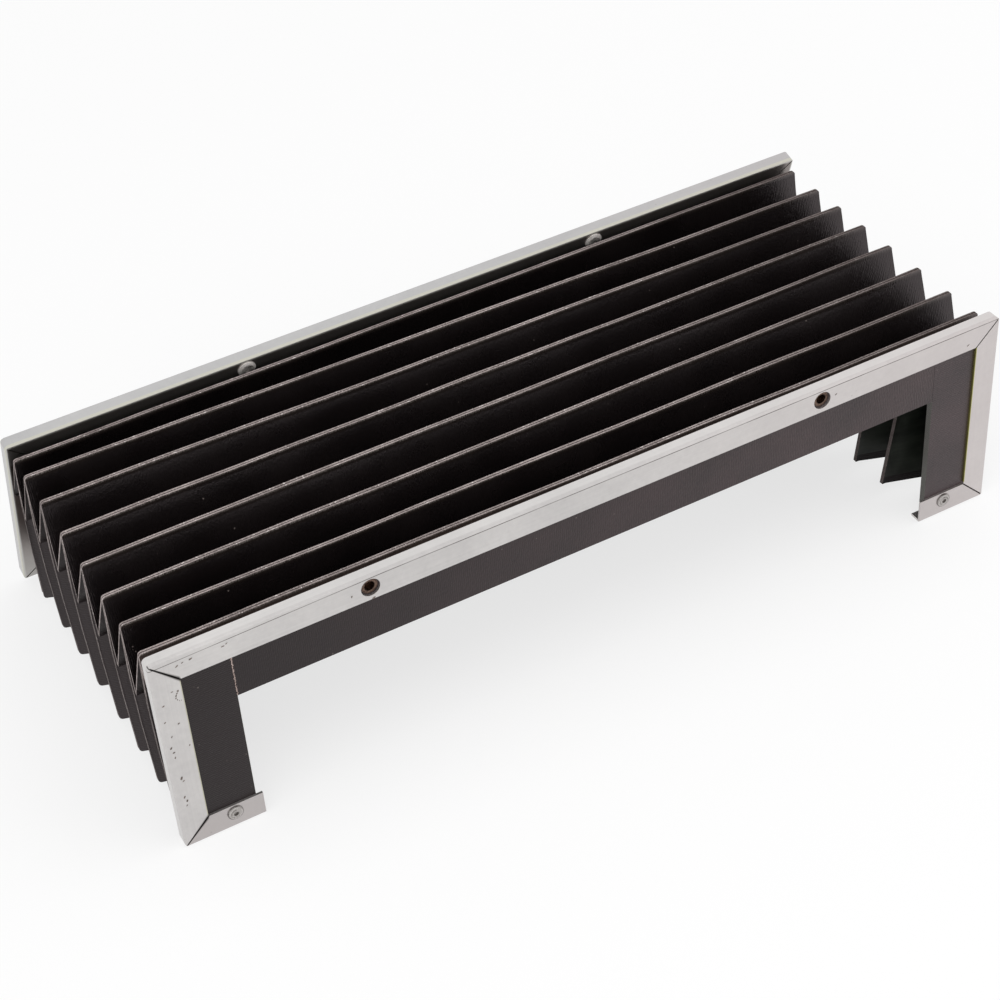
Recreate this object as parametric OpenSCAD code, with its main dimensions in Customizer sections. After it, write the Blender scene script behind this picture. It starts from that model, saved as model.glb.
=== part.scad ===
// Bellows way cover: a U-shaped folded cover between two L-section end frames.
// X is the width, Y is the travel with the front end at -Y, Z is up. Millimetres.

/* [Overall] */
// outer width of both end frames
cover_w = 375; // [320:1:450]
// height of both end frames
frame_h = 94.5; // [90:0.5:120]
// length at rest along the top, from the front flange to the rear edge of an upright rear frame
cover_len = 150.5; // [140:0.5:200]
// how far the free rear end leans back as the cover stands, in degrees
rear_lean = 17; // [0:0.5:20]

/* [End frames] */
// thickness of the frame strip
sheet_t = 1; // [0.8:0.1:1.2]
// width of the flange
flange_w = 11; // [10.5:0.5:13]
// depth of the web, flange included
web_d = 5.5; // [5.5:0.1:8]
// outer radius where the strip is bent round a corner
bend_r = 2; // [1.8:0.1:3]
// outer radius of the bend between flange and web
edge_r = 0.8; // [0.4:0.1:1]
// open gap at the mitres of the flange
mitre_gap = 0.6; // [0.3:0.1:1]
// length of a foot from the outside of its leg
tab_len = 33.5; // [32:0.5:40]

/* [End panels] */
// thickness of a panel with its coating
panel_t = 3; // [2.5:0.1:3]
// width of the panel band from the outside of the frame
panel_band = 31; // [29:0.5:31.5]
// play between the panels and the web
panel_clear = 0.3; // [0.3:0.05:0.5]
// open gap between a panel leg and the web of its foot
foot_gap = 2.2; // [1.5:0.1:2.5]
// butt gap between the top panel and the legs
seam_gap = 0.1; // [0.05:0.05:0.3]

/* [Inserts] */
// spacing of the front inserts
front_pitch = 200; // [120:1:260]
// spacing of the rear inserts
rear_pitch = 166; // [120:1:260]
// distance of the inserts below the top of the frame
insert_drop = 5.2; // [5.15:0.05:5.8]
// diameter of an insert's head
insert_head_d = 8; // [7.6:0.1:8.1]
// height of an insert's head
insert_head_h = 1.2; // [1:0.1:1.3]
// outer diameter of an insert's barrel
insert_d = 6.6; // [6.2:0.1:7]
// bore of an insert, the core hole of its thread
insert_bore = 4.2; // [3.3:0.1:5]
// diameter of the dimple in an insert's head
insert_dimple_d = 2.4; // [1.8:0.1:3]
// diameter of the sight holes in the front flange
sight_d = 7.8; // [7.4:0.1:8.2]

/* [Rivets] */
// shank diameter of the blind rivets in the feet
rivet_d = 3.2; // [3:0.1:3.4]
// head diameter of the rivets
rivet_head_d = 6.5; // [6:0.1:6.6]
// head height of the rivets
rivet_head_h = 0.9; // [0.7:0.1:1]
// diameter of the set tail of the rivets
rivet_tail_d = 4.6; // [4.2:0.1:5]
// length of the set tail of the rivets
rivet_tail_l = 1.4; // [1:0.1:1.4]
// diameter of the mandrel hole in a rivet's head
rivet_mandrel_d = 1.9; // [1.6:0.1:2.2]
// distance of the rivets from the outside of the frame
rivet_in = 21.5; // [19:0.5:24]
// distance of the rivets above the underside of the foot
rivet_up = 7; // [6.6:0.1:7.2]
// radial play of the rivets and inserts in their holes
hole_clear = 0.05; // [0.05:0.01:0.1]

/* [Folds] */
// thickness of one fold wall, fabric and stiffener
wall_t = 0.9; // [0.7:0.05:1]
// height of the joined strip at each crest and valley
land = 1.5; // [1:0.1:2.5]
// distance of the crests below the top of the frames
crest_drop = 4.3; // [3.8:0.1:5]
// distance of the crests inside the outer sides of the frames
crest_side = 1.5; // [1.5:0.1:3]
// corner radius of the crest line
crest_r = 1.5; // [1:0.1:2.5]
// height of the fold legs above the underside of the front feet
leg_rise = 10; // [10:0.5:14]
// play between the rearmost fold and the flange of the rear frame
fold_clear = 0.3; // [0.2:0.05:0.5]
// how much closer together the folds stand at the rear end, 0 for even
rear_squeeze = 0.55; // [0:0.05:0.6]
// how quickly the lean of the rear end dies out along the folds, as a power
lean_fade = 13; // [10:1:16]

/* [Hidden] */
$fn = 64;
half_w = cover_w / 2;
rear_y = cover_len - web_d;
rear_end_y = rear_y + web_d * cos(rear_lean) + frame_h * sin(rear_lean);
y_mid = (rear_end_y - rivet_head_h) / 2;
panel_top_in = sheet_t + panel_clear;
insert_z = frame_h - insert_drop;
front_back_y = sheet_t + panel_t;
rear_front_y = rear_y + sheet_t / cos(rear_lean);
crest_z = frame_h - crest_drop;
crest_x = half_w - crest_side;
depth = panel_band - crest_drop;
pleats = 8;
span = rear_front_y - front_back_y;
eps = 0.5;

// place along Y of the folds: u runs from 0 at the front panel to 1 at the rear panel
function fold_y(u) = front_back_y + span * (u + rear_squeeze * pow(u, 3) * (1 - u));
function crest_u(k) = (2 * (pleats - k) + 1) / (2 * pleats);
function valley_u(k, dir) = (pleats - k + (dir > 0 ? 1 : 0)) / pleats;

// slope of the folds at u: how far they stand back for each unit of depth below the top
function lean(u) = tan(rear_lean) * pow(u, lean_fade);

// moves what was laid out from the front flange so that the part is centred on Y
module placed() {
    translate([0, -y_mid, 0]) children();
}

// sets what was laid out as for the front end at the rear end, leaning back about its top edge
module rear_set() {
    translate([0, rear_y, frame_h]) rotate([rear_lean, 0, 0]) translate([0, 0, -frame_h]) children();
}

// a plate in the XZ plane, from y to y + t
module upright(y, t) {
    translate([0, y + t, 0]) rotate([90, 0, 0]) linear_extrude(t) children();
}

// a round hole or pin along Y, from y to y + l
module along_y(x, y, z, d, l) {
    translate([x, y, z]) rotate([-90, 0, 0]) cylinder(d = d, h = l);
}

// a rectangle standing on z = 0 with its corners rounded
module rounded_box(w, h, r) {
    translate([-w / 2, r]) square([w, h - 2 * r]);
    translate([-w / 2 + r, 0]) square([w - 2 * r, h]);
    for (x = [-w / 2 + r, w / 2 - r]) {
        for (z = [r, h - r]) {
            translate([x, z]) circle(r);
        }
    }
}

// a rectangle with its lower edge on y = 0, whose two lower corners are rounded
module round_edged(w, d, r) {
    translate([-w / 2 + r, 0]) square([w - 2 * r, d]);
    translate([-w / 2, r]) square([w, d - r]);
    for (x = [-w / 2 + r, w / 2 - r]) {
        translate([x, r]) circle(r);
    }
}

// the outside of an end frame as a solid block, its front edges rounded by the bend of the strip
module frame_block(h) {
    intersection() {
        upright(0, web_d) rounded_box(cover_w, h, bend_r);
        translate([0, 0, -eps]) linear_extrude(h + 2 * eps) round_edged(cover_w, web_d, edge_r);
        translate([half_w + eps, 0, h / 2])
            rotate([0, -90, 0])
                linear_extrude(cover_w + 2 * eps) round_edged(h, web_d, edge_r);
    }
}

// the bent L-section strip with its feet, standing on z = 0 with the flange at y = 0
module end_frame(h) {
    difference() {
        frame_block(h);
        translate([0, 0, sheet_t])
            upright(sheet_t, web_d)
                rounded_box(cover_w - 2 * sheet_t, h - 2 * sheet_t, bend_r - sheet_t);
        translate([-half_w + flange_w, -eps, flange_w])
            cube([cover_w - 2 * flange_w, sheet_t + 2 * eps, h - 2 * flange_w]);
        flange_slots(h);
        translate([-half_w + tab_len, -eps, -eps])
            cube([cover_w - 2 * tab_len, web_d + 2 * eps, flange_w + 2 * eps]);
        for (s = [-1, 1]) {
            along_y(s * (half_w - rivet_in), -eps, rivet_up, rivet_d + 2 * hole_clear, sheet_t + 2 * eps);
        }
    }
}

// the four open mitres of one flange
module flange_slots(h) {
    run = (flange_w - sheet_t) * sqrt(2) + eps;
    for (s = [-1, 1]) {
        translate([s * (half_w - sheet_t), 0, h - sheet_t])
            rotate([0, s > 0 ? 135 : 45, 0])
                translate([0, -eps, -mitre_gap / 2])
                    cube([run, sheet_t + 2 * eps, mitre_gap]);
        translate([s * (half_w - sheet_t), 0, sheet_t])
            rotate([0, s > 0 ? 225 : -45, 0])
                translate([0, -eps, -mitre_gap / 2])
                    cube([run, sheet_t + 2 * eps, mitre_gap]);
    }
}

// the two holes of a top panel or flange
module insert_holes(pitch, y, d, l) {
    for (s = [-1, 1]) {
        along_y(s * pitch / 2, y - eps, insert_z, d, l + 2 * eps);
    }
}

// the strip of panel across the top, between the legs
module top_panel(y, pitch) {
    w = cover_w - 2 * panel_band - 2 * seam_gap;
    difference() {
        translate([-w / 2, y, frame_h - panel_band])
            cube([w, panel_t, panel_band - panel_top_in]);
        insert_holes(pitch, y, insert_d + 2 * hole_clear, panel_t);
    }
}

// one panel leg, s = -1 for the left and 1 for the right
module leg_panel(y, z, s) {
    low = z + sheet_t + foot_gap;
    w = panel_band - panel_top_in;
    difference() {
        translate([s > 0 ? half_w - panel_band : -half_w + panel_top_in, y, low])
            cube([w, panel_t, frame_h - panel_top_in - low]);
        along_y(s * (half_w - rivet_in), y - eps, z + rivet_up, rivet_d + 2 * hole_clear, panel_t + 2 * eps);
    }
}

// a domed blind rivet along Y with its head's underside at y
module blind_rivet(x, y, z) {
    rim = rivet_head_h * 0.4;
    difference() {
        union() {
            along_y(x, y - rim, z, rivet_head_d, rim);
            translate([x, y - rim, z])
                rotate([90, 0, 0])
                    cylinder(d1 = rivet_head_d, d2 = rivet_head_d * 0.62, h = rivet_head_h - rim);
            along_y(x, y - rim, z, rivet_d, rim + sheet_t + panel_t + rivet_tail_l);
            along_y(x, y + sheet_t + panel_t, z, rivet_tail_d, rivet_tail_l);
        }
        along_y(x, y - rivet_head_h - eps, z, rivet_mandrel_d, eps + rivet_head_h * 0.6);
    }
}

// an insert with its head's underside at the origin, its barrel along +Z
module threaded_insert(length) {
    rim = insert_head_h * 0.4;
    difference() {
        union() {
            translate([0, 0, -rim]) cylinder(d = insert_head_d, h = rim);
            translate([0, 0, -insert_head_h])
                cylinder(d1 = insert_head_d * 0.7, d2 = insert_head_d, h = insert_head_h - rim);
            cylinder(d = insert_d, h = length);
        }
        cylinder(d = insert_bore, h = length + eps);
        translate([0, 0, -insert_head_h - eps]) cylinder(d = insert_dimple_d, h = eps + insert_head_h * 0.3);
    }
}

// section of a fold wall: distance from the crest plane, depth below the crest, slope
function wall_section(half, crest_lean, valley_lean) = [
    [0, 0, crest_lean], [wall_t, 0, crest_lean], [wall_t, land, crest_lean],
    [half, depth - land, valley_lean], [half, depth, valley_lean], [half - wall_t, depth, valley_lean],
    [half - wall_t, depth - land, valley_lean], [0, land, crest_lean]
];

// y of a section point at height z, for a wall whose crest is at yc along the top
function wall_y(yc, dir, p, z) = yc + dir * p[0] + p[2] * (frame_h - z);

// a face list with every face turned over if keep is false
function turned(faces, keep) = keep ? faces : [for (f = faces) [for (i = [len(f) - 1:-1:0]) f[i]]];

// one fold wall of pleat k: dir = -1 for the wall in front of the crest and 1 for the one behind it
module fold_wall(k, dir) {
    yc = fold_y(crest_u(k));
    vu = valley_u(k, dir);
    sec = wall_section(abs(fold_y(vu) - yc), lean(crest_u(k)), lean(vu));
    placed() intersection() {
        union() {
            translate([-crest_x, 0, 0])
                rotate([90, 0, 90])
                    linear_extrude(2 * crest_x)
                        polygon([for (p = sec) [wall_y(yc, dir, p, crest_z - p[1]), crest_z - p[1]]]);
            fold_leg(yc, dir, sec);
            mirror([1, 0, 0]) fold_leg(yc, dir, sec);
        }
        translate([0, 0, leg_rise])
            upright(0, rear_end_y)
                rounded_box(2 * crest_x, crest_z - leg_rise, crest_r);
        if (k == 1 && dir > 0) {
            rear_fold_room();
        }
    }
}

// the right leg of a fold wall, from the mitre with its top strip down past the cut of the legs
module fold_leg(yc, dir, sec) {
    low = leg_rise - eps;
    n = len(sec);
    top = [for (p = sec) [crest_x - p[1], wall_y(yc, dir, p, crest_z - p[1]), crest_z - p[1]]];
    bottom = [for (p = sec) [crest_x - p[1], wall_y(yc, dir, p, low), low]];
    ends = [[7, 2, 1, 0], [6, 3, 2, 7], [5, 4, 3, 6], [8, 9, 10, 15], [15, 10, 11, 14], [14, 11, 12, 13]];
    sides = [for (i = [0:n - 1]) let (j = (i + 1) % n) each [[i, j, j + n], [i, j + n, i + n]]];
    polyhedron(concat(top, bottom), turned(concat(ends, sides), dir > 0));
}

// what the rearmost fold may fill: above the rivets' tails all in front of the rear flange, and the window
// inside it
module rear_fold_room() {
    in_x = half_w - flange_w - fold_clear;
    rim = flange_w + fold_clear;
    low = rivet_up + rivet_tail_d / 2 + fold_clear;
    rear_set() {
        translate([-half_w, -cover_len, low]) cube([cover_w, cover_len - fold_clear, 2 * frame_h]);
        translate([-in_x, -sheet_t, rim]) cube([2 * in_x, 2 * sheet_t, frame_h - 2 * rim]);
    }
}

module front_end_frame() {
    color([0.80, 0.79, 0.77]) placed() difference() {
        end_frame(frame_h);
        insert_holes(front_pitch, 0, sight_d, sheet_t);
    }
}

module rear_end_frame() {
    color([0.80, 0.79, 0.77]) placed() rear_set() difference() {
        end_frame(frame_h);
        insert_holes(rear_pitch, 0, insert_d + 2 * hole_clear, sheet_t);
    }
}

module front_top_panel() {
    color([0.20, 0.18, 0.18]) placed() top_panel(sheet_t, front_pitch);
}

module front_left_panel() {
    color([0.20, 0.18, 0.18]) placed() leg_panel(sheet_t, 0, -1);
}

module front_right_panel() {
    color([0.20, 0.18, 0.18]) placed() leg_panel(sheet_t, 0, 1);
}

module rear_top_panel() {
    color([0.20, 0.18, 0.18]) placed() rear_set() top_panel(sheet_t, rear_pitch);
}

module rear_left_panel() {
    color([0.20, 0.18, 0.18]) placed() rear_set() leg_panel(sheet_t, 0, -1);
}

module rear_right_panel() {
    color([0.20, 0.18, 0.18]) placed() rear_set() leg_panel(sheet_t, 0, 1);
}

module front_tab_rivets() {
    color([0.72, 0.71, 0.70]) placed() for (s = [-1, 1]) {
        blind_rivet(s * (half_w - rivet_in), 0, rivet_up);
    }
}

module rear_tab_rivets() {
    color([0.72, 0.71, 0.70]) placed() rear_set() for (s = [-1, 1]) {
        blind_rivet(s * (half_w - rivet_in), 0, rivet_up);
    }
}

module front_inserts() {
    color([0.45, 0.33, 0.22]) placed() for (s = [-1, 1]) {
        translate([s * front_pitch / 2, front_back_y, insert_z])
            rotate([90, 0, 0]) threaded_insert(panel_t);
    }
}

module rear_inserts() {
    color([0.45, 0.33, 0.22]) placed() rear_set() for (s = [-1, 1]) {
        translate([s * rear_pitch / 2, 0, insert_z])
            rotate([-90, 0, 0]) threaded_insert(sheet_t + panel_t);
    }
}

module pleat_1_rear_wall() { color([0.13, 0.12, 0.12]) fold_wall(1, 1); }
module pleat_1_front_wall() { color([0.10, 0.09, 0.09]) fold_wall(1, -1); }
module pleat_2_rear_wall() { color([0.13, 0.12, 0.12]) fold_wall(2, 1); }
module pleat_2_front_wall() { color([0.10, 0.09, 0.09]) fold_wall(2, -1); }
module pleat_3_rear_wall() { color([0.13, 0.12, 0.12]) fold_wall(3, 1); }
module pleat_3_front_wall() { color([0.10, 0.09, 0.09]) fold_wall(3, -1); }
module pleat_4_rear_wall() { color([0.13, 0.12, 0.12]) fold_wall(4, 1); }
module pleat_4_front_wall() { color([0.10, 0.09, 0.09]) fold_wall(4, -1); }
module pleat_5_rear_wall() { color([0.13, 0.12, 0.12]) fold_wall(5, 1); }
module pleat_5_front_wall() { color([0.10, 0.09, 0.09]) fold_wall(5, -1); }
module pleat_6_rear_wall() { color([0.13, 0.12, 0.12]) fold_wall(6, 1); }
module pleat_6_front_wall() { color([0.10, 0.09, 0.09]) fold_wall(6, -1); }
module pleat_7_rear_wall() { color([0.13, 0.12, 0.12]) fold_wall(7, 1); }
module pleat_7_front_wall() { color([0.10, 0.09, 0.09]) fold_wall(7, -1); }
module pleat_8_rear_wall() { color([0.13, 0.12, 0.12]) fold_wall(8, 1); }
module pleat_8_front_wall() { color([0.10, 0.09, 0.09]) fold_wall(8, -1); }

front_end_frame();
rear_end_frame();
front_top_panel();
front_left_panel();
front_right_panel();
rear_top_panel();
rear_left_panel();
rear_right_panel();
front_tab_rivets();
rear_tab_rivets();
front_inserts();
rear_inserts();
pleat_1_rear_wall();
pleat_1_front_wall();
pleat_2_rear_wall();
pleat_2_front_wall();
pleat_3_rear_wall();
pleat_3_front_wall();
pleat_4_rear_wall();
pleat_4_front_wall();
pleat_5_rear_wall();
pleat_5_front_wall();
pleat_6_rear_wall();
pleat_6_front_wall();
pleat_7_rear_wall();
pleat_7_front_wall();
pleat_8_rear_wall();
pleat_8_front_wall();
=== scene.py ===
import math
import random

import bpy
from mathutils import Matrix, Vector, noise


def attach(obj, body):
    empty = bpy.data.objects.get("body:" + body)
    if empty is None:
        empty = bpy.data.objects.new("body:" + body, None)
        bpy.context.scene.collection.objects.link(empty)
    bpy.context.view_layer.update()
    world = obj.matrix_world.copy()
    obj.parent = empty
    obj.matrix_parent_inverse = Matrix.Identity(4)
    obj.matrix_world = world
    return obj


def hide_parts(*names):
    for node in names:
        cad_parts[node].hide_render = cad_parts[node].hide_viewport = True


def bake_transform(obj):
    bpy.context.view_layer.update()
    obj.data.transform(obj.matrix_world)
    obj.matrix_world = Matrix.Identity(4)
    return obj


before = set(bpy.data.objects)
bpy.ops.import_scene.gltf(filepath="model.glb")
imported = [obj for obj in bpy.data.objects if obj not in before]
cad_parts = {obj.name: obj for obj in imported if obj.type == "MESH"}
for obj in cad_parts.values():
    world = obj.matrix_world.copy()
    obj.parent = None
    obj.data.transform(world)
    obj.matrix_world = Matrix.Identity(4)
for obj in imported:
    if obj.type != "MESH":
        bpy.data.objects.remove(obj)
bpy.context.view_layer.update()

# Sizes are in millimetres, with y counted from the front flange; mesh() turns them into the frame's metres.
HALF_W, FRAME_H, FLANGE_W, WEB_D = 187.5, 94.5, 11.0, 5.5
REAR_Y, LEAN = 145.0, math.radians(17)
FRONT_RIVET_H = 0.9
FRONT_Y = (REAR_Y + WEB_D * math.cos(LEAN) + FRAME_H * math.sin(LEAN) - FRONT_RIVET_H) / 2
CREST_X, CREST_Z, DEPTH, LAND, WALL_T, CREST_R = 186.0, 90.2, 26.7, 1.5, 0.9, 1.2
FOLD_Y0, PLEATS = 4.0, 8
FOLD_SPAN = REAR_Y + 1 / math.cos(LEAN) - FOLD_Y0
FRONT_INSERT_X, REAR_INSERT_X, INSERT_Z = 100.0, 83.0, 89.3
RIVET_X, RIVET_Z = 166.0, 7.0
PANEL_LEG_X, PANEL_TOP_Z = 156.6, 63.5


def mm(v):
    return v / 1000


def srgb(r, g, b):
    def lin(c):
        c /= 255
        return c / 12.92 if c <= 0.04045 else ((c + 0.055) / 1.055) ** 2.4
    return lin(r), lin(g), lin(b), 1.0


def along(v, xs, ys):
    """Straight-line interpolation in a short table."""
    if v <= xs[0]:
        return ys[0]
    for i in range(1, len(xs)):
        if v <= xs[i]:
            f = (v - xs[i - 1]) / (xs[i] - xs[i - 1])
            return ys[i - 1] + f * (ys[i] - ys[i - 1])
    return ys[-1]


def clamp(v, lo=0.0, hi=1.0):
    return max(lo, min(hi, v))


class Mat:
    """A node material with short helpers. It ends in one Principled shader, and its positions are in metres."""

    def __init__(self, name):
        self.m = bpy.data.materials.new(name)
        self.m.use_nodes = True
        self.t = self.m.node_tree
        self.bsdf = self.t.nodes["Principled BSDF"]
        self.pos = self.t.nodes.new("ShaderNodeTexCoord").outputs["Object"]

    def node(self, kind, **props):
        n = self.t.nodes.new(kind)
        for k, v in props.items():
            setattr(n, k, v)
        return n

    def link(self, a, b):
        self.t.links.new(a, b)

    def put(self, n, i, v):
        if hasattr(v, "is_linked"):
            self.link(v, n.inputs[i])
        else:
            n.inputs[i].default_value = v

    def math(self, op, a, b=0.0):
        n = self.node("ShaderNodeMath", operation=op)
        self.put(n, 0, a)
        self.put(n, 1, b)
        return n.outputs[0]

    def times(self, a, b):
        return self.math("MULTIPLY", a, b)

    def plus(self, a, b):
        return self.math("ADD", a, b)

    def minus(self, a, b):
        return self.math("SUBTRACT", a, b)

    def size(self, a):
        return self.math("ABSOLUTE", a)

    def axis(self, i):
        n = self.node("ShaderNodeSeparateXYZ")
        self.link(self.pos, n.inputs[0])
        return n.outputs[i]

    def scaled(self, sx, sy, sz):
        n = self.node("ShaderNodeMapping")
        self.link(self.pos, n.inputs[0])
        n.inputs["Scale"].default_value = (sx, sy, sz)
        return n.outputs[0]

    def noise(self, scale, detail=2.0, rough=0.5, vec=None):
        n = self.node("ShaderNodeTexNoise")
        self.link(vec or self.pos, n.inputs["Vector"])
        n.inputs["Scale"].default_value = scale
        n.inputs["Detail"].default_value = detail
        n.inputs["Roughness"].default_value = rough
        return n.outputs["Fac"]

    def cells(self, scale):
        n = self.node("ShaderNodeTexVoronoi")
        self.link(self.pos, n.inputs["Vector"])
        n.inputs["Scale"].default_value = scale
        return n.outputs["Distance"]

    def span(self, v, a, b, lo=0.0, hi=1.0):
        """lo at a, hi at b, held beyond them."""
        n = self.node("ShaderNodeMapRange", clamp=True)
        for i, x in enumerate((v, a, b, lo, hi)):
            self.put(n, i, x)
        return n.outputs[0]

    def near(self, v, centre, half):
        """1 at centre, falling to 0 at centre +- half."""
        return self.span(self.size(self.minus(v, centre)), half * 0.55, half, 1.0, 0.0)

    def mix(self, f, a, b):
        n = self.node("ShaderNodeMix", data_type="RGBA")
        self.put(n, 0, f)
        self.put(n, 6, a)
        self.put(n, 7, b)
        return n.outputs[2]

    def bump(self, height, strength, distance):
        n = self.node("ShaderNodeBump")
        n.inputs["Strength"].default_value = strength
        n.inputs["Distance"].default_value = distance
        self.link(height, n.inputs["Height"])
        return n.outputs[0]

    def done(self, color, rough, normal, **fixed):
        self.put(self.bsdf, "Base Color", color)
        self.put(self.bsdf, "Roughness", rough)
        self.link(normal, self.bsdf.inputs["Normal"])
        for k, v in fixed.items():
            self.bsdf.inputs[k.replace("_", " ")].default_value = v
        return self.m


# Pressed grain of the cloth: its scale along x, y and z, the direction of the ribs and their scale.
TOP_RIBS, LEG_RIBS = (1700, 900, 750, "X", 380), (950, 950, 1300, "Z", 330)


def leatherette(name, dark, light, ribs, rough=0.34, dust=0.5, gloss=0.5, pale=None, edge=None, nap_and_crest_light=False):
    """Black coated cloth with fine pressed ribs, pebbled grain and dust specks. pale is a painted lighter tone towards
    the right end, painted light and sheen from the right; edge gives the mask and the colour of a cut edge;
    nap_and_crest_light adds the fluff of the cut rims at the crests and a brown band just under them, partly fuzz and
    partly painted light."""
    m = Mat(name)
    grain = m.noise(1.0, 3, 0.6, m.scaled(*ribs[:3]))
    wave = m.node("ShaderNodeTexWave", wave_type="BANDS", bands_direction=ribs[3])
    m.link(m.pos, wave.inputs["Vector"])
    wave.inputs["Scale"].default_value = ribs[4]
    wave.inputs["Distortion"].default_value = 4.5
    wave.inputs["Detail"].default_value = 3.0
    wave.inputs["Detail Scale"].default_value = 0.8
    rib = wave.outputs["Fac"]
    cloud = m.noise(38, 3, 0.55)
    tone = m.plus(m.times(rib, 0.14), m.times(grain, 0.56))
    tone = m.span(m.plus(tone, m.times(cloud, 0.55)), 0.35, 0.95)
    col = m.mix(tone, dark, light)
    spec = gloss
    # Painted light: with pale, the cloth is painted lighter towards the right end, for the light and sheen from the
    # right.
    if pale is not None:
        right = m.span(m.axis(0), mm(-170), mm(170))
        col = m.mix(right, col, m.mix(tone, dark, pale))
        spec = m.span(right, 0.0, 1.0, gloss * 0.8, gloss * 1.15)
    elif nap_and_crest_light:
        spec = m.span(m.axis(0), mm(120), mm(CREST_X), gloss, gloss * 1.5)
    if edge is not None:
        mask, shade = edge(m)
        col = m.mix(mask, col, shade)
    pick = m.span(m.noise(75, 1, 0.5), 0.60, 0.66)
    speck = m.times(m.span(m.cells(210), 0.035, 0.085, 1.0, 0.0), pick)
    col = m.mix(m.times(speck, dust), col, srgb(150, 138, 132))
    if nap_and_crest_light:
        hair = m.span(m.noise(1.0, 2, 0.6, m.scaled(4200, 700, 700)), 0.42, 0.62)
        z = m.axis(2)
        # A brown band in the top 2 mm under the crest: partly brown fuzz, partly painted light that reaches over the
        # fold in front.
        col = m.mix(m.times(m.span(z, mm(88.0), mm(89.6)), 0.2), col, srgb(92, 80, 74))
        fluff = m.times(hair, m.span(z, mm(89.2), mm(90.1), 0.0, 0.6))
        left = m.span(m.axis(0), mm(-50), mm(170), 1.0, 0.25)
        col = m.mix(m.times(fluff, left), col, srgb(186, 176, 170))
    height = m.plus(m.times(rib, 0.18), m.times(grain, 0.75))
    m.put(m.bsdf, "Specular IOR Level", spec)
    m.bsdf.inputs["Specular Tint"].default_value = (1.0, 0.87, 0.89, 1)
    wear = m.span(cloud, 0.3, 0.7, rough - 0.04, rough + 0.06)
    return m.done(col, wear, m.bump(height, 0.55, 0.00032))


def panel_edge(m):
    """The cut inner edges of the legs' plates show a greenish core."""
    inner = m.span(m.size(m.axis(0)), mm(PANEL_LEG_X - 0.05), mm(PANEL_LEG_X + 0.05), 1.0, 0.0)
    low = m.span(m.axis(2), mm(PANEL_TOP_Z - 0.1), mm(PANEL_TOP_Z + 0.1), 1.0, 0.0)
    return m.times(inner, low), srgb(52, 54, 46)


def raw_edge(name):
    """Cut edges of the fold sheets: grey-brown core with pale thread ends, darker to the right and on the legs."""
    m = Mat(name)
    fine = m.noise(1.0, 2, 0.7, m.scaled(1900, 900, 900))
    broad = m.noise(70, 3, 0.6)
    tone = m.span(m.plus(m.times(fine, 0.8), m.times(broad, 0.5)), 0.42, 0.88)
    col = m.mix(tone, srgb(92, 82, 80), srgb(186, 174, 171))
    col = m.mix(m.span(m.noise(900, 1, 0.5), 0.64, 0.72), col, srgb(214, 205, 202))
    col = m.mix(m.span(m.axis(0), mm(50), mm(180), 0.0, 0.75), col, srgb(60, 50, 48))
    col = m.mix(m.span(m.axis(2), mm(60), mm(72), 0.55, 0.0), col, srgb(70, 62, 61))
    return m.done(col, 0.8, m.bump(fine, 0.5, 0.0003), Specular_IOR_Level=0.25)


def stiffener(name):
    """The folds' inside: smooth dark green-grey stiffener card with faint scuffs."""
    m = Mat(name)
    cloud = m.noise(30, 4, 0.6)
    brush = m.noise(1.0, 2, 0.6, m.scaled(60, 60, 420))
    tone = m.span(m.plus(m.times(cloud, 0.8), m.times(brush, 0.3)), 0.42, 0.8)
    col = m.mix(tone, srgb(5, 6, 5), srgb(40, 44, 37))
    rough = m.span(cloud, 0.3, 0.7, 0.30, 0.46)
    return m.done(col, rough, m.bump(brush, 0.15, 0.0002), Specular_IOR_Level=0.2)


def front_painted_light_and_lines(m, col, x, y, z):
    """The front frame: a painted lighter web, a rolled crease, a painted yellow-green line on the legs' inner edges
    and painted shade in the left mitres.
    """
    y0 = mm(-FRONT_Y)
    # Painted light: the web, facing up, is painted lighter than the flange's face.
    face = m.span(y, y0 + mm(1.5), y0 + mm(1.9), 1.0, 0.0)
    col = m.mix(m.span(face, 0.0, 1.0, 0.3, 0.0), col, srgb(232, 230, 228))
    # The crease along the top strip slopes down towards its left end.
    drop = m.span(x, mm(-185), mm(-95), mm(1.5), 0.0)
    crease = m.times(m.near(m.plus(z, drop), mm(93.82), mm(0.19)), face)
    crease = m.times(crease, m.span(m.noise(45, 3, 0.6), 0.25, 0.55, 0.35, 0.9))
    col = m.mix(crease, col, srgb(84, 78, 75))
    # A painted yellow-green line runs along the inner edge of the legs' flanges, more so at the right.
    rim = m.times(m.near(m.size(x), mm(176.58), mm(0.36)), m.span(z, mm(83.2), mm(83.6), 1.0, 0.0))
    rim = m.times(rim, m.span(z, mm(11.5), mm(12.5)))
    rim = m.times(rim, m.span(x, mm(-170), mm(170), 0.35, 0.9))
    col = m.mix(rim, col, srgb(158, 156, 70))
    # Painted shade beside the left mitres, where their gaps stand open, widest at their inner ends.
    across = m.plus(x, mm(HALF_W))
    low = m.size(m.minus(across, z))
    high = m.size(m.minus(across, m.minus(mm(FRAME_H), z)))
    width = m.span(across, 0.0, mm(FLANGE_W), mm(0.4), mm(1.6))
    for d in (low, high):
        darkening = m.span(m.math("DIVIDE", d, width), 0.35, 1.0, 0.9, 0.0)
        darkening = m.times(darkening, m.span(across, mm(10.8), mm(11.4), 1.0, 0.0))
        col = m.mix(m.times(darkening, face), col, srgb(40, 33, 31))
    return col


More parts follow.
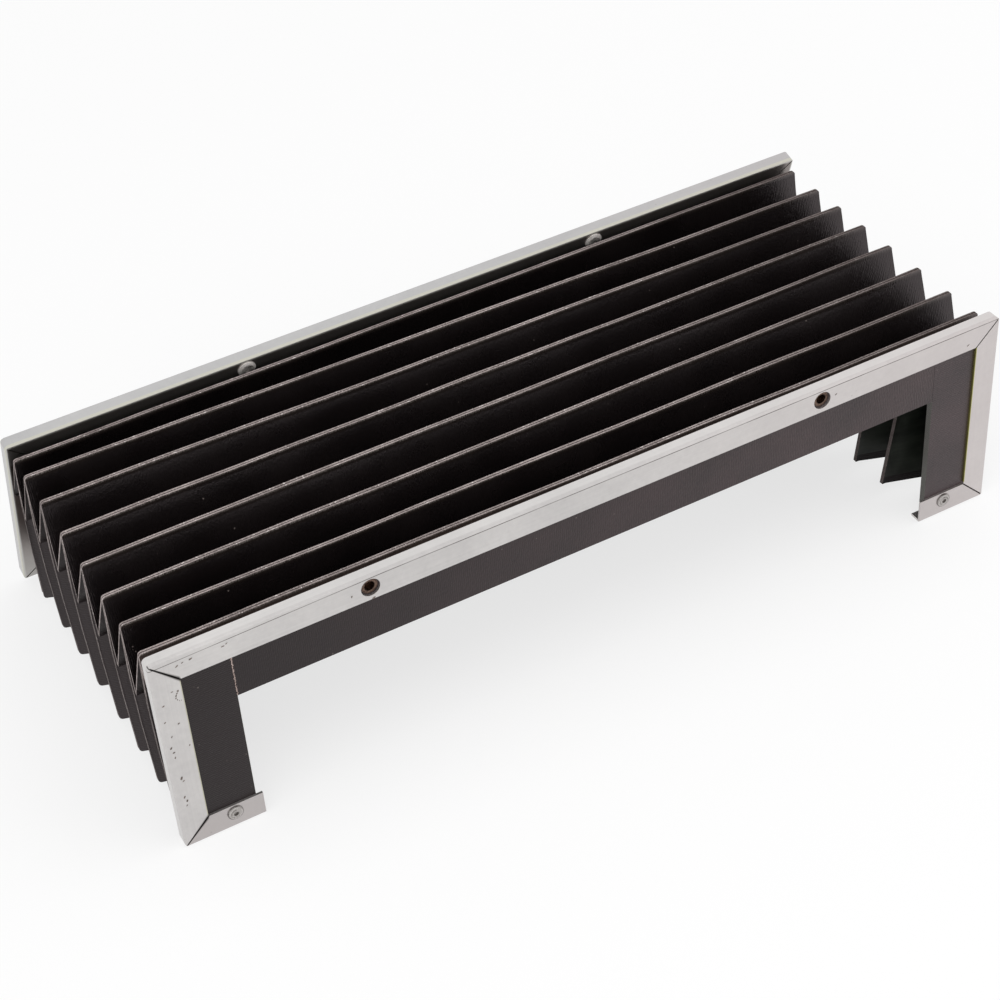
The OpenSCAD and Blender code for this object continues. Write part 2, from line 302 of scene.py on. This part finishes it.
def rear_tint_and_shade(m, col, x, y, z, cloud):
    """The leaning frame: greyer, yellowed at the bend, with painted shade and painted reflection of the black folds on
    its flange.
    """
    c, s = math.cos(LEAN), math.sin(LEAN)
    back = m.plus(y, mm(FRONT_Y - REAR_Y))
    down = m.minus(z, mm(FRAME_H))
    # The frame's own axes: ly goes through its depth and lz up its face.
    ly = m.plus(m.times(back, c), m.times(down, s))
    lz = m.plus(m.minus(m.times(down, c), m.times(back, s)), mm(FRAME_H))
    col = m.mix(0.45, col, srgb(170, 172, 174))
    col = m.mix(m.times(m.near(ly, mm(0.8), mm(0.9)), 0.6), col, srgb(208, 206, 187))
    # Painted shade and painted reflection of the black folds on the flange's inner face, darker high up on the legs
    # and lighter on the top strip.
    inner = m.math("MINIMUM", m.span(lz, mm(93.0), mm(93.8), 1.0, 0.0),
                   m.span(m.size(x), mm(186.2), mm(186.8), 1.0, 0.0))
    fold_shade = m.times(m.span(ly, mm(0.9), mm(1.3), 1.0, 0.0), inner)
    fold_shade = m.times(fold_shade, m.span(m.plus(lz, m.times(cloud, 0.02)), mm(12), mm(56), 0.3, 0.9))
    fold_shade = m.times(fold_shade, m.span(lz, mm(81.5), mm(83.5), 1.0, 0.68))
    return m.mix(fold_shade, col, srgb(86, 68, 63))


def sheet_metal(name, front):
    """Satin bright strip: faintly brushed along its run, soft clouds, a warmer tone to the right, a few spots."""
    m = Mat(name)
    x, y, z = m.axis(0), m.axis(1), m.axis(2)
    leg = m.span(m.size(x), mm(HALF_W - FLANGE_W - 1), mm(HALF_W - FLANGE_W))
    run_x = m.noise(1.0, 2, 0.6, m.scaled(9, 1300, 1300))
    run_z = m.noise(1.0, 2, 0.6, m.scaled(1300, 1300, 9))
    streak = m.plus(m.times(run_x, m.minus(1.0, leg)), m.times(run_z, leg))
    cloud = m.noise(26, 4, 0.65)
    fine = m.noise(420, 3, 0.6)
    tone = m.plus(m.times(streak, 0.25), m.times(cloud, 0.65))
    tone = m.span(m.plus(tone, m.times(fine, 0.25)), 0.35, 0.8)
    col = m.mix(tone, srgb(192, 189, 188), srgb(217, 214, 212))
    col = m.mix(m.span(x, 0.0, mm(180), 0.0, 0.4), col, srgb(204, 192, 191))
    # The feet are duller inside their mitres, the left one more so.
    inward = m.minus(m.minus(mm(HALF_W), m.size(x)), z)
    foot = m.times(m.span(z, mm(FLANGE_W - 0.5), mm(FLANGE_W + 0.5), 1.0, 0.0), m.span(inward, mm(-0.1), mm(0.1)))
    foot = m.times(foot, m.span(x, mm(-176), mm(176), 0.7, 0.25))
    col = m.mix(foot, col, srgb(178, 171, 170))
    spots = m.times(m.span(m.cells(260), 0.05, 0.12, 1.0, 0.0), m.span(m.noise(60, 1, 0.5), 0.62, 0.68))
    col = m.mix(m.times(spots, 0.5), col, srgb(104, 96, 90))
    # Painted light and shade: the front frame's lighter web and mitre shade, the rear frame's shade of the folds.
    col = front_painted_light_and_lines(m, col, x, y, z) if front else rear_tint_and_shade(m, col, x, y, z, cloud)
    rough = m.span(m.plus(m.times(streak, 0.4), m.times(cloud, 0.6)), 0.35, 0.7, 0.30, 0.42)
    return m.done(col, rough, m.bump(streak, 0.06, 0.00006), Metallic=0.9)


def plain_metal(name, dark, light, rough, grime, darkening=None, metal=0.95):
    """Small turned and pressed metal: fine turning marks, grime gathered in patches, and the darkening that darkening
    gives: painted shade on the front rivets and the rear heads, dark grooves on the front inserts.
    """
    m = Mat(name)
    turn = m.noise(2600, 2, 0.6)
    cloud = m.noise(420, 3, 0.6)
    col = m.mix(m.span(m.plus(turn, cloud), 0.7, 1.3), dark, light)
    col = m.mix(m.span(cloud, 0.56, 0.72, 0.0, grime), col, srgb(62, 48, 40))
    if darkening is not None:
        col = m.mix(darkening(m, cloud), col, srgb(44, 35, 31))
    rough = m.span(turn, 0.3, 0.7, rough - 0.06, rough + 0.08)
    return m.done(col, rough, m.bump(turn, 0.2, 0.00005), Metallic=metal)


def around(m, x, z):
    """Distance from the two lines along y at x and -x."""
    dx = m.minus(m.size(m.axis(0)), mm(x))
    dz = m.minus(m.axis(2), mm(z))
    return m.math("SQRT", m.plus(m.times(dx, dx), m.times(dz, dz)))


def insert_dirt(m, cloud):
    """Dark turned grooves on the front inserts' faces, broken up where the metal is worn bright."""
    wave = m.math("SINE", m.times(around(m, FRONT_INSERT_X, INSERT_Z), 9000))
    return m.times(m.span(wave, -0.2, 0.6, 0.0, 0.85), m.span(cloud, 0.36, 0.58, 1.0, 0.45))


def head_shade(m, cloud):
    """Brown painted shade on the rear inserts' heads inside their rims, which leaves the rims bright as a painted
    highlight.
    """
    r = around(m, REAR_INSERT_X, INSERT_Z)
    return m.times(m.span(r, mm(2.6), mm(3.3), 1.0, 0.0), m.span(cloud, 0.38, 0.60, 0.25, 0.85))


def rivet_shade(m, cloud):
    """Painted shade: a dark line round the rim of the front rivets' heads and in their mandrel holes, with a faint
    darker ring between.
    """
    r = around(m, RIVET_X, RIVET_Z)
    rim = m.times(m.span(r, mm(2.75), mm(3.1)), m.span(cloud, 0.35, 0.6, 0.2, 0.85))
    hole = m.span(r, mm(0.9), mm(1.4), 0.45, 0.0)
    swirl = m.times(m.near(r, mm(1.9), mm(0.4)), m.span(cloud, 0.46, 0.6))
    return m.math("MAXIMUM", m.math("MAXIMUM", rim, hole), m.times(swirl, 0.5))


def spot_mark(name, dark, light, rough=0.7):
    """Dry matter lying on a surface, such as grime and loose threads."""
    m = Mat(name)
    col = m.mix(m.span(m.noise(2400, 3, 0.6), 0.35, 0.65), dark, light)
    return m.done(col, rough, m.bump(m.noise(3000, 2), 0.3, 0.0001), Specular_IOR_Level=0.3)


# The top strips and the legs are one cloth: the top strips' copy is painted darker, painted shade of the deep folds,
# and the legs' copy lighter, painted light on the legs.
fabric_top = leatherette("fold_fabric_top", srgb(6, 5, 5), srgb(14, 10, 10), TOP_RIBS, 0.26, nap_and_crest_light=True)
# The frontmost sheet's top strip is painted brown: a painted reflection of the front frame's web, with lighter scuffs.
fabric_scuffs_and_reflection = leatherette("fold_fabric_scuffs_and_reflection", srgb(44, 36, 34), srgb(80, 68, 63), TOP_RIBS, nap_and_crest_light=True)
fabric_leg = leatherette("fold_fabric_leg", srgb(14, 10, 10), srgb(32, 25, 25), LEG_RIBS, 0.38)
fabric_hem = leatherette("fold_fabric_hem", srgb(4, 3, 3), srgb(11, 9, 9), LEG_RIBS, 0.5, 0.3, 0.15)
# The panels are painted lighter towards the right end: painted light and sheen from the right.
panel_top = leatherette("panel_leatherette_top", srgb(9, 7, 7), srgb(22, 16, 16), TOP_RIBS, 0.34, 0.35, 0.47,
                        srgb(75, 60, 61))
panel_leg = leatherette("panel_leatherette_leg", srgb(9, 7, 7), srgb(22, 16, 16), LEG_RIBS, 0.34, 0.35, 0.47,
                        srgb(72, 58, 60), panel_edge)
edge_mat = raw_edge("fold_raw_edge")
inner_mat = stiffener("fold_stiffener")
metal_front = sheet_metal("strip_metal_front", True)
metal_rear = sheet_metal("strip_metal_rear", False)
rivet_mat = plain_metal("rivet_metal_front", srgb(150, 145, 142), srgb(206, 202, 199), 0.30, 0.3, rivet_shade)
rear_rivet_mat = plain_metal("rivet_metal_rear", srgb(150, 145, 142), srgb(206, 202, 199), 0.30, 0.3)
insert_mat = plain_metal("insert_bronzed_front", srgb(66, 50, 42), srgb(136, 113, 100), 0.28, 0.4, insert_dirt)
head_mat = plain_metal("insert_plated_rear", srgb(196, 189, 183), srgb(246, 242, 238), 0.32, 0.15, head_shade, 0.4)
mark_mat = spot_mark("dirt_marks", srgb(70, 60, 55), srgb(136, 124, 116))
fray_mat = spot_mark("seam_fray", srgb(128, 106, 100), srgb(214, 194, 186), 0.9)


def mesh(name, verts, faces, mats, slots=None, smooth=None):
    """Makes an object from points in millimetres, with sharp edges where faces meet at more than 40 degrees."""
    me = bpy.data.meshes.new(name)
    me.from_pydata([(x / 1000, (y - FRONT_Y) / 1000, z / 1000) for x, y, z in verts], [], faces)
    for mt in mats:
        me.materials.append(mt)
    if slots:
        me.polygons.foreach_set("material_index", slots)
    if smooth is not None:
        me.polygons.foreach_set("use_smooth", smooth)
    me.update()
    me.set_sharp_from_angle(angle=math.radians(40))
    ob = bpy.data.objects.new(name, me)
    bpy.context.collection.objects.link(ob)
    return ob


# The folds. u runs from 0 at the front end to 1 at the rear end; crests and valleys alternate along it.


def fold_y(u):
    """Place of a fold along the cover, closer together towards the rear."""
    return FOLD_Y0 + FOLD_SPAN * (u + 0.55 * u ** 3 * (1 - u))


def fold_lean(u):
    """How far a fold stands back for each unit of depth; only the last ones follow the leaning frame."""
    return math.tan(LEAN) * u ** 13


CREST_Y = [fold_y((17 - 2 * k) / 16) for k in range(1, PLEATS + 1)]

# How the soft folds sit in the photograph: each crest is a little askew, the left legs belly out and drift back,
# the right legs swing in. The rows run from front to back, by y along the top.
LEAN_Y = [FOLD_Y0] + CREST_Y[::-1] + [FOLD_Y0 + FOLD_SPAN]
TOP_LEFT = [0.0, 0.6, -0.5, -1.6, -0.6, 0.2, 2.4, 2.7, 0.0, 0.0]
TOP_RIGHT = [0.0, -0.3, -1.25, 0.5, 1.1, -0.5, -2.1, -3.5, 0.9, 0.0]
LEFT_BACK = [0.0, 0.0, -0.9, 0.6, 0.9, 1.7, 1.1, -0.2, 0.4, 0.0]
RIGHT_IN = [0.0, 9.0, 11.0, 10.0, 9.0, 8.0, 6.5, 4.5, 2.0, 0.0]
# The left legs' way outwards, by height.
LEFT_OUT_Z, LEFT_OUT = [8, 40, 64, CREST_Z], [-1.0, 0.3, 0.7, 0.0]
# How far the strips' ends stand to the left of the straight ones at the valleys.
LEFT_END, RIGHT_END = -1.9, -0.9
# Over this distance from the frames the folds go over to their straight place.
CALM, CALM_REAR_Y = 8, 147


def lay(x, y, z, strip):
    """Moves a point of the straight folds to where the soft ones lie: strip is the top, else a leg."""
    s = clamp(x / CREST_X, -1, 1)
    dy = along(y, LEAN_Y, TOP_LEFT) * (1 - s) / 2 + along(y, LEAN_Y, TOP_RIGHT) * (1 + s) / 2
    calm = clamp((CALM_REAR_Y - y) / CALM) * clamp((y - FOLD_Y0) / CALM)
    if strip:
        end = clamp((CREST_Z - z) / DEPTH) * clamp((abs(x) - 150) / 36)
        dx = (LEFT_END if x < 0 else RIGHT_END) * end * calm
    elif x < 0:
        dx = -along(z, LEFT_OUT_Z, LEFT_OUT) * calm
        dy += along(y, LEAN_Y, LEFT_BACK) * clamp((CREST_Z - z) / 83)
    else:
        dx = -along(y, LEAN_Y, RIGHT_IN) * clamp((70 - z) / 60, 0, 1.1) ** 0.85
    wave = noise.noise(Vector((x / 52, y / 9, z / 60)))
    lift = noise.noise(Vector((x / 44 + 9, y / 9, z / 60 + 5)))
    return x + dx, y + dy + 0.5 * calm * wave, z + 0.3 * calm * lift


def clear_rear(x, y, z):
    """Keeps the rearmost sheet in front of the rear flange, except in the window inside it."""
    c, s = math.cos(LEAN), math.sin(LEAN)
    ly = (y - REAR_Y) * c + (z - FRAME_H) * s
    lz = FRAME_H - (y - REAR_Y) * s + (z - FRAME_H) * c
    edge = FLANGE_W + 0.5
    inside = min(clamp((lz - edge) / 5), clamp((FRAME_H - edge - lz) / 5), clamp((HALF_W - edge - abs(x)) / 5))
    over = max(0.0, ly - (-0.35 + 1.3 * inside))
    return x, y - over * c, z - over * s


# Depths of the sheets' rows of points under the crest.
ROWS = [0.0, 0.35, 1.0, 1.5, 2.2, 3.0, 5.0, 8.0, 11.5, 15.0, 18.5, 22.0, 25.2, 26.7]
# Columns of points over a strip and down a leg, and the columns at their ends that have cloth on the inside.
TOP_COLS, TOP_END_COLS, LEG_COLS, HEM_FROM = 84, 9, 20, 17
# The sheets' materials by slot.
TOP_CLOTH, LEG_CLOTH, CARD, RAW, HEM = range(5)
# Height of the legs' lower ends: the outermost sheets clear the rivets' tails.
OUTER_LOW, LEFT_LOW, RIGHT_LOW = 10.0, 7.6, 8.4
# Half the line between two sheets at their cut rims, and half the gap where they are bonded.
RIM_GAP, BOND_GAP = 0.16, 0.004


def section(b, half, strip):
    """Outer and inner distance from the crest plane at depth b. The two sheets of a pleat are bonded just under the
    crest and part at their cut rims, where a dark line shows between them."""
    land, parted, bonded = (LAND, 1.2, 2.5) if strip else (0.3, 0.2, 1.8)
    out = WALL_T + (half - WALL_T) * clamp((b - land) / (DEPTH - LAND - land))
    return out, RIM_GAP if b < parted else BOND_GAP if b < bonded else out - WALL_T


def corner(b):
    """How far the rounded upper corner takes the sheet's end back at depth b."""
    return CREST_R - math.sqrt(max(0.0, CREST_R ** 2 - (CREST_R - b) ** 2)) if b < CREST_R else 0.0


def wall(k, rear):
    """One U-shaped sheet: a full-width top strip and two legs that meet it on the mitre."""
    cu, vu = (17 - 2 * k) / 16, (8 - k + (1 if rear else 0)) / 8
    cy, vy = fold_y(cu), fold_y(vu)
    sign, half = (1 if rear else -1), abs(vy - cy)
    verts, faces, slots = [], [], []

    def grid(point, cols, strip):
        """point(row depth, 0..1) -> (x, z). Makes a closed thin sheet: outside, inside and the cut rim."""
        n, base = len(ROWS), len(verts)
        for layer in (0, 1):
            for b in ROWS:
                a = section(b, half, strip)[layer]
                f = clamp((b - LAND) / (DEPTH - 2 * LAND))
                lean = fold_lean(cu) * (1 - f) + fold_lean(vu) * f
                for c in range(cols + 1):
                    x, z = point(b, c / cols)
                    x, y, z = lay(x, cy + sign * a, z, strip)
                    y += lean * (FRAME_H - z)
                    verts.append(clear_rear(x, y, z) if k == 1 else (x, y, z))

        def at(layer, r, c):
            return base + (layer * n + r) * (cols + 1) + c

        def quad(a, b, c, d, slot, turn):
            faces.append((a, b, c, d) if turn else (d, c, b, a))
            slots.append(slot)

        outside, ends = (TOP_CLOTH, RAW) if strip else (LEG_CLOTH, LEG_CLOTH)
        flip = (sign < 0) == (point(0, 1)[0] >= point(0, 0)[0] and point(0, 1)[1] == point(0, 0)[1])
        for r in range(n - 1):
            for c in range(cols):
                if strip:
                    inside = CARD if TOP_END_COLS <= c < cols - TOP_END_COLS else LEG_CLOTH
                else:
                    inside = HEM if c >= HEM_FROM else CARD
                quad(at(0, r, c), at(0, r, c + 1), at(0, r + 1, c + 1), at(0, r + 1, c), outside, flip)
                quad(at(1, r, c), at(1, r, c + 1), at(1, r + 1, c + 1), at(1, r + 1, c), inside, not flip)
        for c in range(cols):
            quad(at(0, 0, c), at(0, 0, c + 1), at(1, 0, c + 1), at(1, 0, c), RAW, not flip)
            quad(at(0, n - 1, c), at(0, n - 1, c + 1), at(1, n - 1, c + 1), at(1, n - 1, c), RAW, flip)
        for r in range(n - 1):
            quad(at(0, r, 0), at(0, r + 1, 0), at(1, r + 1, 0), at(1, r, 0), ends, flip)
            quad(at(0, r, cols), at(0, r + 1, cols), at(1, r + 1, cols), at(1, r, cols), ends, not flip)

    def top(b, f):
        # Columns are closer together near the ends.
        g = 0.5 - 0.5 * math.cos(math.pi * f)
        return (CREST_X - corner(b)) * (2 * (0.45 * g + 0.55 * f) - 1), CREST_Z - b

    def leg(side):
        outermost = (k == PLEATS and not rear) or (k == 1 and rear)
        low = OUTER_LOW if outermost else LEFT_LOW if side < 0 else RIGHT_LOW

        def point(b, f):
            hi = CREST_Z - max(b + 1.5, corner(b))
            lo = low + 0.8 * b / DEPTH + corner(b)
            # Rows are closer together at the hem.
            f = 0.94 * f / 0.85 if f < 0.85 else 0.94 + 0.06 * (f - 0.85) / 0.15
            return side * (CREST_X - b), hi + (lo - hi) * f
        return point

    grid(top, TOP_COLS, True)
    grid(leg(-1), LEG_COLS, False)
    grid(leg(1), LEG_COLS, False)
    name = "pleat_%d_%s_sheet" % (k, "rear" if rear else "front")
    smooth = [s != RAW for s in slots]
    # The frontmost sheet takes the cloth with the painted reflection of the front frame's web and its scuffs.
    cloth = fabric_scuffs_and_reflection if k == PLEATS and not rear else fabric_top
    ob = mesh(name, verts, faces, [cloth, fabric_leg, inner_mat, edge_mat, fabric_hem], slots, smooth)
    return ob, cy, vy


def ride_evenly(ob):
    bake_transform(ob)


for k in range(1, PLEATS + 1):
    for rear in (True, False):
        ob, cy, vy = wall(k, rear)
        node = "pleat_%d_%s_wall" % (k, "rear" if rear else "front")
        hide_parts(node)
        ride_evenly(ob)


# The CAD nodes that stay get their materials.
for node, mat in (
    ("front_end_frame", metal_front), ("front_top_panel", panel_top), ("front_left_panel", panel_leg),
    ("front_right_panel", panel_leg), ("front_tab_rivets", rivet_mat), ("front_inserts", insert_mat),
    ("rear_inserts", head_mat), ("rear_top_panel", panel_top), ("rear_end_frame", metal_rear),
    ("rear_left_panel", panel_leg), ("rear_right_panel", panel_leg), ("rear_tab_rivets", rear_rivet_mat),
):
    ob = bpy.data.objects[node]
    if ob.material_slots:
        for s in ob.material_slots:
            s.link = "OBJECT"
            s.material = mat
    else:
        ob.data.materials.append(mat)


# Small marks on the front flange.
random.seed(7)
MARK_Y, MARK_POINTS = -0.03, 9
verts, faces = [], []


def blot(x, z, r, squash, turn):
    """A small irregular patch of dirt lying on the front flange."""
    i0 = len(verts)
    for i in range(MARK_POINTS):
        a = 2 * math.pi * i / MARK_POINTS
        q = r * random.uniform(0.65, 1.15)
        u, v = q * math.cos(a), q * squash * math.sin(a)
        verts.append((x + u * math.cos(turn) - v * math.sin(turn), MARK_Y,
                      z + u * math.sin(turn) + v * math.cos(turn)))
    faces.append(tuple(range(i0, i0 + MARK_POINTS)))


# Place, radius, narrowness and turn of each speck.
for x, z, r, squash, turn in (
    (-184.5, 74, 0.7, 0.55, 0.4), (-185.2, 66, 0.55, 0.6, 1.0), (-180.4, 79, 0.5, 0.6, 0.2),
    (-183.8, 58, 0.6, 0.5, 1.2), (-185.0, 52.6, 0.8, 0.5, 0.9), (-184.3, 50.0, 0.6, 0.6, 0.3),
    (-184.2, 47.4, 0.6, 0.5, 1.3), (-183.5, 36, 0.9, 0.55, 1.3), (-183.0, 34.2, 0.6, 0.5, 0.5),
    (-183.9, 26, 0.9, 0.45, 1.1), (-183.2, 23.6, 0.7, 0.5, 1.4), (-183.6, 21.4, 0.6, 0.5, 0.8),
    (-180.3, 63, 0.55, 0.6, 0.5), (-178.0, 50.5, 0.55, 0.5, 1.0), (-164.5, 4.2, 0.7, 0.35, 1.5),
    (-176.9, 89.9, 0.8, 0.4, 0.7), (-174.6, 90.6, 0.6, 0.5, 0.2), (-171.5, 90.8, 0.8, 0.5, 0.3),
    (-158.9, 90.4, 0.8, 0.4, 0.1), (-157.4, 91.0, 0.5, 0.5, 0.6), (-107.8, 88.6, 0.6, 0.5, 1.4),
    (-99.2, 83.9, 0.9, 0.5, 0.2), (106.6, 89.6, 0.6, 0.5, 0.6), (172.0, 86.5, 0.9, 0.25, 0.5),
):
    blot(x, z, r, squash, turn)
# The brown smudge on the left leg: a row of small blots that thins out downwards.
for x, z, r in (
    (-178.2, 78.5, 0.6), (-178.7, 77.5, 0.5), (-179.2, 76.5, 0.6), (-179.4, 75.4, 0.45), (-179.0, 74.4, 0.4),
    (-178.3, 73.7, 0.3), (-177.6, 73.5, 0.25),
):
    blot(x, z, r, 0.6, 1.2)
marks = mesh("front_dirt_marks", verts, faces, [mark_mat])
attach(marks, "front_end")

# The frayed seam between the front top panel and the left leg: short flat threads, one above the other.
FRAY_X, FRAY_Y, FRAY_Z0, FRAY_H, THREADS = -156.45, 0.93, 64.2, 18.8, 64
verts, faces = [], []
for i in range(THREADS):
    z = FRAY_Z0 + FRAY_H * i / (THREADS - 1) + random.uniform(-0.2, 0.2)
    x = FRAY_X + random.uniform(-0.22, 0.22)
    l, w, a = random.uniform(0.3, 0.75), random.uniform(0.09, 0.2), random.gauss(1.57, 0.5)
    dx, dz, nx, nz = l * math.cos(a), l * math.sin(a), -w * math.sin(a), w * math.cos(a)
    i0, y = len(verts), FRAY_Y - random.uniform(0, 0.12)
    verts += [(x - dx, y, z - dz), (x + nx, y - 0.05, z + nz), (x + dx, y, z + dz), (x - nx, y - 0.05, z - nz)]
    faces.append((i0, i0 + 1, i0 + 2, i0 + 3))
fray = mesh("front_left_seam_fray", verts, faces, [fray_mat])
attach(fray, "front_end")


def seen(t):
    """1 for what the camera sees directly or in a reflection, 0 for scattered light."""
    path = t.nodes.new("ShaderNodeLightPath")
    either = t.nodes.new("ShaderNodeMath")
    either.operation = "MAXIMUM"
    t.links.new(path.outputs["Is Camera Ray"], either.inputs[0])
    t.links.new(path.outputs["Is Glossy Ray"], either.inputs[1])
    return either.outputs[0]


def floor_material():
    """White floor: plain white far away, so that no horizon shows; near the object it takes its shadow."""
    near, far, near_share = 0.4, 1.6, 0.72
    m = bpy.data.materials.new("studio_floor")
    m.use_nodes = True
    t = m.node_tree
    t.nodes.clear()
    out = t.nodes.new("ShaderNodeOutputMaterial")
    mix = t.nodes.new("ShaderNodeMixShader")
    dif = t.nodes.new("ShaderNodeBsdfDiffuse")
    dif.inputs["Color"].default_value = (0.92, 0.92, 0.92, 1)
    em = t.nodes.new("ShaderNodeEmission")
    em.inputs["Strength"].default_value = 1.0
    where = t.nodes.new("ShaderNodeTexCoord")
    away = t.nodes.new("ShaderNodeVectorMath")
    away.operation = "LENGTH"
    t.links.new(where.outputs["Object"], away.inputs[0])
    share = t.nodes.new("ShaderNodeMapRange")
    for i, v in ((1, near), (2, far), (3, near_share), (4, 1.0)):
        share.inputs[i].default_value = v
    t.links.new(away.outputs["Value"], share.inputs[0])
    amount = t.nodes.new("ShaderNodeMath")
    amount.operation = "MULTIPLY"
    t.links.new(seen(t), amount.inputs[0])
    t.links.new(share.outputs[0], amount.inputs[1])
    t.links.new(amount.outputs[0], mix.inputs[0])
    t.links.new(dif.outputs[0], mix.inputs[1])
    t.links.new(em.outputs[0], mix.inputs[2])
    t.links.new(mix.outputs[0], out.inputs["Surface"])
    return m


# In metres: half the floor's side, and its height just under the feet.
FLOOR_HALF, FLOOR_Z = 5, -0.0002
me = bpy.data.meshes.new("studio_floor")
me.from_pydata([(x * FLOOR_HALF, y * FLOOR_HALF, FLOOR_Z) for x, y in ((-1, -1), (1, -1), (1, 1), (-1, 1))], [],
               [(0, 1, 2, 3)])
me.materials.append(floor_material())
floor = bpy.data.objects.new("studio_floor", me)
bpy.context.collection.objects.link(floor)

# White surroundings; as a light source they are dimmer.
WORLD_LIGHT, WORLD_SEEN = 0.42, 1.0
scene = bpy.context.scene
world = bpy.data.worlds.new("studio")
scene.world = world
world.use_nodes = True
t = world.node_tree
t.nodes.clear()
out = t.nodes.new("ShaderNodeOutputWorld")
bg = t.nodes.new("ShaderNodeBackground")
bg.inputs["Color"].default_value = (1, 1, 1, 1)
level = t.nodes.new("ShaderNodeMapRange")
level.inputs[3].default_value = WORLD_LIGHT
level.inputs[4].default_value = WORLD_SEEN
t.links.new(seen(t), level.inputs[0])
t.links.new(level.outputs[0], bg.inputs["Strength"])
t.links.new(bg.outputs[0], out.inputs["Surface"])


def softbox(name, at, size, watts):
    """A square lamp aimed at the object. It is left out of reflections, so that metal shows the white surroundings."""
    d = bpy.data.lights.new(name, "AREA")
    d.shape = "SQUARE"
    d.size = size
    d.energy = watts
    ob = bpy.data.objects.new(name, d)
    bpy.context.collection.objects.link(ob)
    ob.location = at
    ob.rotation_euler = (-Vector(at)).to_track_quat("-Z", "Y").to_euler()
    ob.visible_glossy = False


softbox("key_left", (-1.5, -1.2, 1.5), 2.8, 25)
softbox("fill_right", (1.6, -0.7, 1.3), 2.4, 18)
softbox("overhead", (0.0, -0.2, 2.2), 2.4, 20)

# The camera solved from the photograph: its focal length in pixels of a 1000-pixel picture, its axes and its place.
FOCAL_PX, PICTURE_PX, SENSOR_MM = 2285.4, 1000, 36
cam_data = bpy.data.cameras.new("camera")
cam_data.sensor_width = SENSOR_MM
cam_data.lens = FOCAL_PX * SENSOR_MM / PICTURE_PX
cam_data.clip_end = 20
cam = bpy.data.objects.new("camera", cam_data)
bpy.context.collection.objects.link(cam)
right = Vector((0.870353, -0.489093, -0.057212))
up = Vector((0.355328, 0.543342, 0.760606))
back = Vector((-0.340921, -0.682325, 0.646688))
place = Matrix((right, up, back)).transposed().to_4x4()
place.translation = Vector((-0.33136, (-573.45 - FRONT_Y) / 1000, 0.64889))
cam.matrix_world = place
scene.camera = cam

scene.view_settings.view_transform = "Standard"
